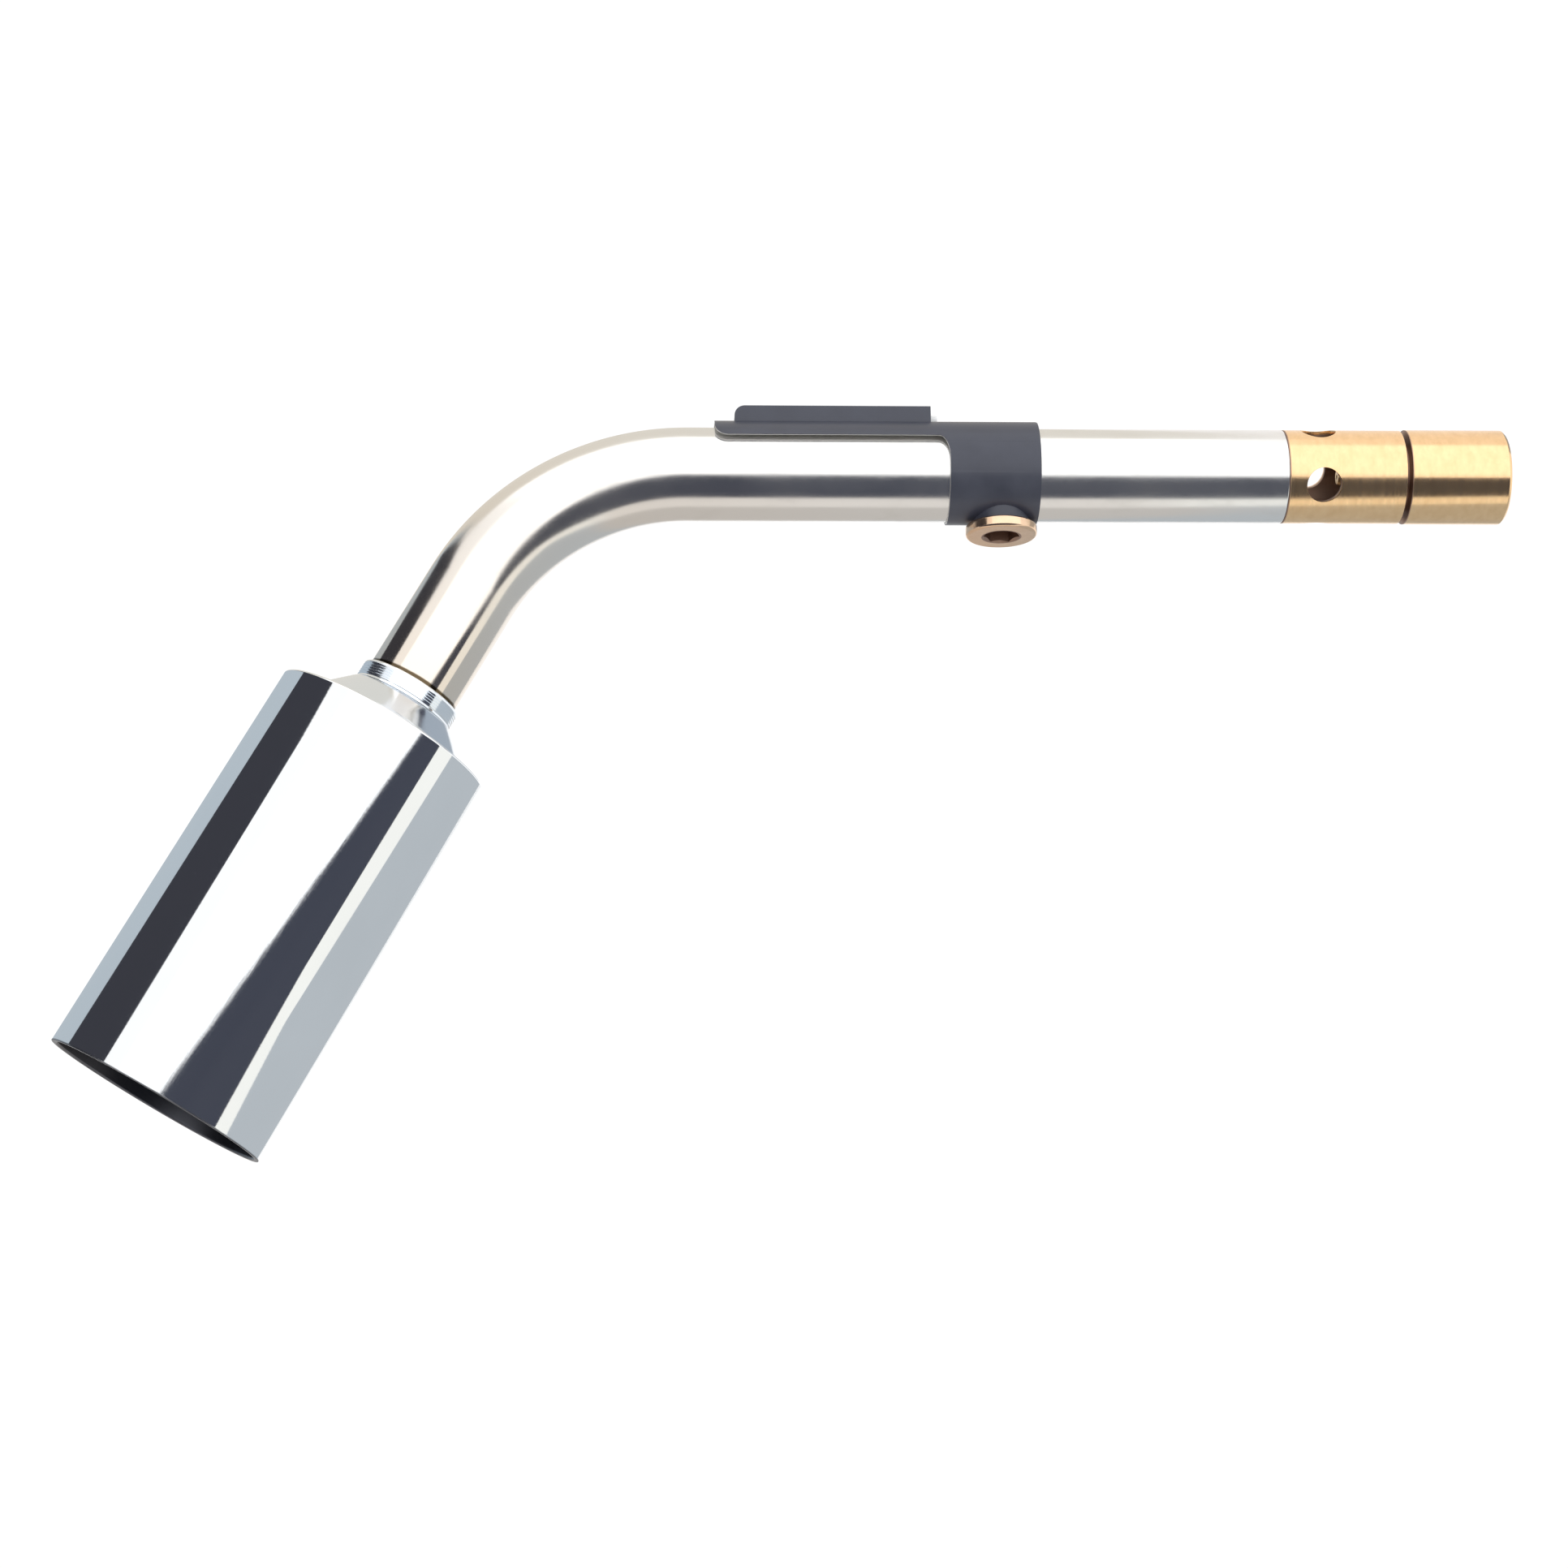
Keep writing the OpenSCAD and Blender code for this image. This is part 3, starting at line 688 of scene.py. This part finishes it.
# Above: beige over the tube, nearly white over the brass, and two shades for the brass
card("beige_above", level(HIGH, (-0.8, -0.075), (0.11, -0.075), (0.11, 1.8), (-0.8, 1.8)), BEIGE)
card("warm_above", level(HIGH, (0.11, -0.357), (1.4, -0.357), (1.4, 1.8), (0.11, 1.8)), WARM_WHITE)
card("shade_above", level(0.78, (0.26, 0.05), (0.54, 0.05), (0.58, 0.50), (0.26, 0.50)), SHADE)
card("shade_behind", level(0.79, (0.50, 0.2), (1.4, 0.3), (1.4, 2.6), (0.45, 2.6)), BLUE_SHADE)
# The two softboxes: one in front and one over it
card("bright_front", [(-0.78, -1.0, -0.3), (1.6, -1.0, -0.3),
                      (1.6, -1.0, 1.3), (-0.78, -1.0, 1.3)], WHITE, SOFTBOX, lights=True)
card("bright_above", [(-0.78, -1.0, 1.3), (1.6, -1.0, 1.3),
                      (1.6, -0.04, 1.0), (-0.78, -0.04, 1.0)], WHITE, SOFTBOX, lights=True)
print("studio ready")


# %% [markdown]
# ## The bent tube
# The real tube is a drawn steel tube, bent on a former. A ring of points is pushed along
# the straight part, spun about the centre of the bend, and pushed on into the hub. The
# skin then gets its wall, inward, and the cut edges are broken a little.

# %% Bent tube
clear_selection()
bpy.ops.mesh.primitive_circle_add(vertices=128, radius=TUBE_R * MM, location=(TUBE_END * MM, 0, 0),
                                  rotation=(0, math.pi / 2, 0))
tube = bpy.context.object
tube.name = "bent_tube"
tube.data.name = "bent_tube"
bpy.ops.object.transform_apply(location=True, rotation=True, scale=True)
bpy.ops.object.mode_set(mode="EDIT")
bpy.ops.mesh.select_all(action="SELECT")
bpy.ops.mesh.extrude_region_move(TRANSFORM_OT_translate={"value": ((BEND_X - TUBE_END) * MM, 0, 0)})
bpy.ops.mesh.spin(steps=60, angle=BEND, center=(BEND_X * MM, 0, -BEND_R * MM), axis=(0, 1, 0))
INTO_HUB = 27.4
into_hub = Vector((-math.cos(BEND), 0, -math.sin(BEND))) * INTO_HUB * MM
bpy.ops.mesh.extrude_region_move(TRANSFORM_OT_translate={"value": into_hub})
tidy_mesh()
reach = min(v.co.x for v in tube.data.vertices) / MM
print("the tube's lower end reaches x", round(reach, 2), "mm")
print("the CAD tube reaches x", round(tube_low.x / MM, 2), "mm")
use(tube, "SOLIDIFY", thickness=TUBE_WALL * MM, offset=-1.0)
break_edges(tube, 0.22, 50, 2)
settle(tube, "burner", ["burner_tube"], polished_tube)


# %% [markdown]
# ## The bell and its hub
# The bell is spun from sheet and chromed: one wall, with a lip turned in at the rear. The
# hub is turned from bar and chromed too. The collar that takes the tube still has fine
# rings from the lathe tool, which are drawn into the outline. The cone is smooth, with one
# small groove near its foot.

# %% Bell
BELL_R = 19.25
BELL_REAR = 28.5
BELL_FRONT = 99.7
BELL_WALL = 1
LIP_R = 16.65
bell = turn("spun_bell", [
    (LIP_R, BELL_REAR), (BELL_R, BELL_REAR),
    (BELL_R, BELL_FRONT - 0.05), (BELL_R - 0.05, BELL_FRONT), (BELL_R - BELL_WALL, BELL_FRONT),
    (BELL_R - BELL_WALL, BELL_REAR + BELL_WALL), (LIP_R, BELL_REAR + BELL_WALL)], 192)
break_edges(bell, 0.42, 60, 5)
stand_on(bell, ALONG_BELL)
settle(bell, "burner", ["burner_bell"], bell_chrome)


# %% Hub
def fine_rings(first, last, r, count, depth):
    """Points of a cylinder with fine turned rings on it; (radius, height) in mm."""
    points = []
    pitch = (last - first) / count
    for i in range(count):
        s = first + i * pitch
        points += [(r, s), (r, s + 0.55 * pitch)]
        points += [(r - depth, s + 0.7 * pitch), (r - depth, s + 0.85 * pitch)]
    return points


SOCKET_R = 8.05
SOCKET_FLOOR = 27.6
COLLAR_R = 8.9
CONE_R = 14.7
NOZZLE_BORE_R = 6.05
FLANGE = 29.52
HUB_FRONT = 31.5
collar = [(SOCKET_R, 19.55), (8.3, 19.5), (8.6, 19.55), (8.8, 19.72), (COLLAR_R, 20.0)]
collar += fine_rings(20.15, 22.4, COLLAR_R, 5, 0.1) + [(8.88, 22.5), (9.0, 22.75)]
cone = [(9.6, 23.2), (11.6, 25.2), (13.4, 27.05), (13.95, 27.6)]
groove = [(13.85, 27.75), (14.35, 28.0), (14.62, 28.2), (CONE_R, 28.45)]
flange = [(CONE_R, FLANGE), (18.2, FLANGE), (18.2, HUB_FRONT), (NOZZLE_BORE_R, HUB_FRONT)]
socket = [(NOZZLE_BORE_R, SOCKET_FLOOR), (SOCKET_R, SOCKET_FLOOR)]
hub = turn("turned_hub", collar + cone + groove + flange + socket, 160)
break_edges(hub, 0.06, 60, 2)
stand_on(hub, ALONG_BELL)
settle(hub, "burner", ["burner_hub"], hub_chrome, 24)


# %% [markdown]
# ## The flame holder
# Inside the bell sits a brass nozzle, a steel disc with two rings of flame holes and a
# hexagonal nut. They are seen only from the bell's mouth. The disc is one turned plate.
# The drills of each ring are joined, so that one cut makes the whole ring of holes.

# %% Nozzle, disc and nut
nozzle = turn("flame_nozzle_turned", [
    (4.5, SOCKET_FLOOR), (6.0, SOCKET_FLOOR), (6.0, 31.52), (8.0, 31.52), (8.0, 38.0), (6.0, 38.0),
    (6.0, 43.1), (5.6, 43.5), (4.9, 43.5), (4.5, 43.1)], 96)
break_edges(nozzle, 0.15, 60, 2)
stand_on(nozzle, ALONG_BELL)
settle(nozzle, "burner", ["flame_nozzle"], inner_brass)

DISC_S = 38.02
DISC_R = 17.75
DISC_BORE_R = 6.05
DISC_WALL = 1.2
NUT_R = 8.5
FLAME_HOLE_R = 1.2
disc = turn("flame_disc_drilled", [
    (DISC_BORE_R, DISC_S), (DISC_R, DISC_S),
    (DISC_R, DISC_S + DISC_WALL), (DISC_BORE_R, DISC_S + DISC_WALL)], 128)
RIM = DISC_R - NUT_R
for count, r in ((12, DISC_R - 0.75 * RIM), (18, DISC_R - 0.25 * RIM)):
    drills = []
    for i in range(count):
        a = math.tau * i / count
        middle = (r * math.cos(a), r * math.sin(a), DISC_S + 0.6)
        drills.append(rod(FLAME_HOLE_R, 4, middle, vertices=32))
    cut(disc, join(drills))
break_edges(disc, 0.1, 50, 2)
stand_on(disc, ALONG_BELL)
settle(disc, "burner", ["flame_disc"], heat_steel)

NUT_MIDDLE = 40.97
nut = rod(NUT_R, 3.5, (0, 0, NUT_MIDDLE), (0, 0, math.radians(30)), 6)
nut.name = "disc_nut_hexagon"
chamfer = turn("chamfer_tool", [
    (0, 39.0), (8.1, 39.0), (8.6, 39.5), (8.6, 42.2), (8.1, 42.75), (0, 42.75)], 96)
cut(nut, chamfer, "INTERSECT")
cut(nut, rod(DISC_BORE_R, 8, (0, 0, NUT_MIDDLE)))
break_edges(nut, 0.12, 35, 2)
stand_on(nut, ALONG_BELL)
settle(nut, "burner", ["disc_nut"], inner_brass)


# %% [markdown]
# ## The brass end
# Two turned pieces follow the tube. The air chamber has four drilled air holes and a
# spigot inside the tube. The coupling behind it turns on a sleeve and has a thread for
# the torch's neck, which is drawn as a row of grooves in the outline.

# %% Air chamber
CHAMBER_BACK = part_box("air_chamber")[1].x / MM
SPIGOT = 10
SPIGOT_R = 6.98
SPIGOT_BORE_R = 5.78
SLEEVE_R = 5.85
SLEEVE_BORE = 7.3
AIR_HOLE_R = 3
HOLE_S = TUBE_END + 6
chamber = turn("air_chamber_turned", [
    (SLEEVE_R, CHAMBER_BACK), (TUBE_R, CHAMBER_BACK), (TUBE_R, TUBE_END), (SPIGOT_R, TUBE_END),
    (SPIGOT_R, TUBE_END - SPIGOT), (SPIGOT_BORE_R, TUBE_END - SPIGOT), (SPIGOT_BORE_R, TUBE_END),
    (6.6, TUBE_END), (6.6, CHAMBER_BACK - SLEEVE_BORE), (SLEEVE_R, CHAMBER_BACK - SLEEVE_BORE)],
    160)
drills = []
for i in range(4):
    a = math.radians(30 + 90 * i)
    middle = (7 * math.cos(a), 7 * math.sin(a), HOLE_S)
    drills.append(rod(AIR_HOLE_R, 7, middle, (0, math.pi / 2, a), 64))
cut(chamber, join(drills))
break_edges(chamber, 0.16, 40, 3)
stand_on(chamber, ALONG_TUBE)
settle(chamber, "burner", ["air_chamber"], chamber_brass)


# %% Coupling
def thread(first, last, core, outer, pitch=1.0):
    """A row of V grooves from one height to another, as (radius, height) points."""
    points = []
    s = first
    while s < last - 1e-6:
        points += [(core, s), (core, s + 0.12 * pitch)]
        points += [(outer, s + 0.5 * pitch), (core, s + 0.88 * pitch)]
        s += pitch
    return points


OUT_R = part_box("coupling_socket")[1].z / MM
CORE_R = 6.46
COUPLING_BORE_R = 5.0
SLEEVE_END = -25.1
relief = [(COUPLING_BORE_R, -12.9), (6.85, -12.9), (6.85, -9.0)]
outside = [(CORE_R, -0.5), (6.9, 0.0), (OUT_R - 0.5, 0.0), (OUT_R, -0.5), (OUT_R, -17.2)]
sleeve = [(5.8, -17.2), (5.8, SLEEVE_END), (COUPLING_BORE_R, SLEEVE_END)]
coupling = turn("coupling_turned", relief + thread(-8.6, -1.0, CORE_R, 6.95) + outside + sleeve, 160)
break_edges(coupling, 0.18, 40, 3)
stand_on(coupling, ALONG_TUBE)
settle(coupling, "coupling", ["coupling_socket"], coupling_brass)


# %% [markdown]
# ## The clip
# One strip of sprung steel makes the clip. It wraps the tube as a band, runs forward as a
# tongue, and has a pressed rib that holds a lead's white liner. A bar the size of the
# wrapped sheet is trimmed to the clip's side view, the rib is added, and the tube and the
# hollow of the rib are taken out. Then every cut edge is broken, as a press leaves it.

# %% Clip sheet
BAND_IN = 8.4
BAND_OUT = 8.85
SHEET = 0.45
BAND_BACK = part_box("clip_band")[1].x / MM
BAND_FRONT = BAND_BACK - 15.4
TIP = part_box("clip_band")[0].x / MM
TONGUE_Z = CLIP_LIFT + BAND_IN * 0.5
RIB_INSET = 2.7
RIB_LENGTH = 33.6
RIB_BACK = BAND_FRONT - RIB_INSET
RIB_FRONT = RIB_BACK - RIB_LENGTH
RIB_FOOT = 5.0
RIB_TOP = 11.3
RIB_WIDTH = 7.0
RIB_NOSE_R = 1.75
SCREW_HOLE_R = 4.05


def bar(start, end, r):
    """A round bar on the clip's axis between two stations, in mm."""
    middle = ((start + end) / 2, 0, CLIP_LIFT)
    return rod(r, end - start, middle, (0, math.pi / 2, 0), 192)


def arc(centre, rx, rz, start, end, steps=12):
    """Points of an arc about a centre, in degrees."""
    angles = [math.radians(start + (end - start) * i / steps) for i in range(steps + 1)]
    return [(centre[0] + rx * math.cos(a), centre[1] + rz * math.sin(a)) for a in angles]


def rib(name, shrink, back):
    """The rib as a solid bar with a round front, smaller all round by shrink."""
    r = RIB_NOSE_R - shrink
    front = RIB_FRONT + shrink
    top = RIB_TOP - shrink
    nose = arc((front + r, top - r), r, r, 90, 180)
    points = [(back, RIB_FOOT), (back, top)] + nose + [(front, RIB_FOOT)]
    return push_out(name, points, RIB_WIDTH - 2 * shrink)


band = bar(TIP, BAND_BACK, BAND_OUT)
band.name = "clip_pressed"
side = [(BAND_FRONT, -12), (BAND_BACK, -12)]
side += arc((BAND_BACK - 1.4, CLIP_LIFT + BAND_OUT - 1.4), 1.4, 1.4, 0, 84)
side += [(BAND_BACK - 2.8, 14), (TIP, 14)]
side += arc((TIP + 2.2, TONGUE_Z + 2.2), 2.2, 2.2, 180, 270)
side += arc((BAND_FRONT - 1.8, TONGUE_Z - 4.4), 1.8, 4.4, 90, 0)
cut(band, push_out("side_view", side, 30), "INTERSECT")
cut(band, rib("rib", 0, RIB_BACK), "UNION")
cut(band, bar(TIP - 1, BAND_BACK + 1, BAND_IN))
cut(band, rib("rib_hollow", SHEET, RIB_BACK + 2.0))
cut(band, rod(SCREW_HOLE_R, 8, (SCREW_X, 0, -10)))
break_edges(band, 0.16, 40, 3)
settle(band, "clip", ["clip_band"], clip_black, 30)


# %% [markdown]
# The boss is a short collar round the clamp screw's hole. The liner is a piece of white
# plastic tube that lies in the rib and shows a little behind it.

# %% Boss and liner
BOSS_R = 4.95
BOSS_FOOT = -9.05
boss = turn("clip_boss_ring", [
    (SCREW_HOLE_R, BOSS_FOOT), (BOSS_R, BOSS_FOOT), (BOSS_R, -5.0), (SCREW_HOLE_R, -5.0)], 96)
break_edges(boss, 0.12, 50, 2)
stand_on(boss, SCREW_AXIS)
cut(boss, bar(BAND_FRONT - 1, BAND_BACK + 1, BAND_OUT + 0.01))
settle(boss, "clip", ["clip_boss"], clip_black)

LINER_BACK = RIB_BACK + 1.3
LINER_FRONT = LINER_BACK - 31
LINER_R = 1.1
LINER_BORE_R = 0.6
LINER_Z = (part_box("lead_liner")[0].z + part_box("lead_liner")[1].z) / 2 / MM
liner = turn("lead_liner_tube", [
    (LINER_BORE_R, LINER_FRONT), (LINER_R, LINER_FRONT),
    (LINER_R, LINER_BACK), (LINER_BORE_R, LINER_BACK)], 48)
break_edges(liner, 0.12, 50, 2)
stand_on(liner, axis_frame((0, 0, LINER_Z), (0, 0, -1), (0, 1, 0), (1, 0, 0)))
settle(liner, "clip", ["lead_liner"], liner_white)


# %% [markdown]
# ## The clamp screw and its pad
# The screw has a flat round head with a hexagon socket and pushes a nylon pad against
# the tube. The screw is turned, then a six-sided tool cuts the socket, and the mouth of
# the socket is chamfered.

# %% Clamp screw
pad_low, pad_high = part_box("clamp_pad")
SHANK_R = 4.0
POCKET_R = 2.55
SOCKET_CORNER_R = 3.15
head_low = screw_low.z / MM
head_top = head_low + 2.0
screw_top = screw_high.z / MM
pocket = pad_low.z / MM - 0.03
head = [(0, head_low), (5.5, head_low)] + arc((5.5, head_low + 0.6), 0.6, 0.6, -80, 0, 6)
head += [(6.1, head_top - 0.45)] + arc((5.65, head_top - 0.45), 0.45, 0.45, 10, 90, 5)
shank = [(SHANK_R, head_top), (SHANK_R, screw_top), (POCKET_R, screw_top)]
screw = turn("clamp_screw_turned", head + shank + [(POCKET_R, pocket), (0, pocket)], 128)
cut(screw, rod(SOCKET_CORNER_R, 3.8, (0, 0, head_low), (0, 0, math.radians(30)), 6))
chamfer = turn("socket_chamfer", [
    (0, head_low - 1), (3.2, head_low - 1), (3.2, head_low), (2.75, head_low + 0.35),
    (0, head_low + 0.35)], 96)
cut(screw, chamfer)
break_edges(screw, 0.1, 50, 2)
stand_on(screw, SCREW_AXIS)
settle(screw, "screw", ["clamp_screw"], screw_brass)


# %% Pad
PAD_R = 2.5
pad = turn("clamp_pad_disc", [
    (0, pad_low.z / MM), (PAD_R, pad_low.z / MM), (PAD_R, pad_high.z / MM), (0, pad_high.z / MM)],
    64)
break_edges(pad, 0.08, 50, 2)
stand_on(pad, SCREW_AXIS)
settle(pad, "pad", ["clamp_pad"], pad_nylon)


# %% [markdown]
# ## Pieces that keep their CAD shape
# The jet, its seal and filter, and the ring and seal of the swivel sit deep inside the
# brass end. Their CAD shapes are right as they are, so they only get their finishes.

# %% Inner pieces
inside = {"jet": inner_brass, "jet_seal": fibre_seal, "jet_filter": filter_bronze,
          "swivel_ring": spring_steel, "swivel_seal": seal_rubber}
for node, finish in inside.items():
    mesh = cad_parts[node].data
    if len(mesh.materials) == 0:
        mesh.materials.append(finish)
    for index in range(len(mesh.materials)):
        mesh.materials[index] = finish
    print(node, "has", finish.name)
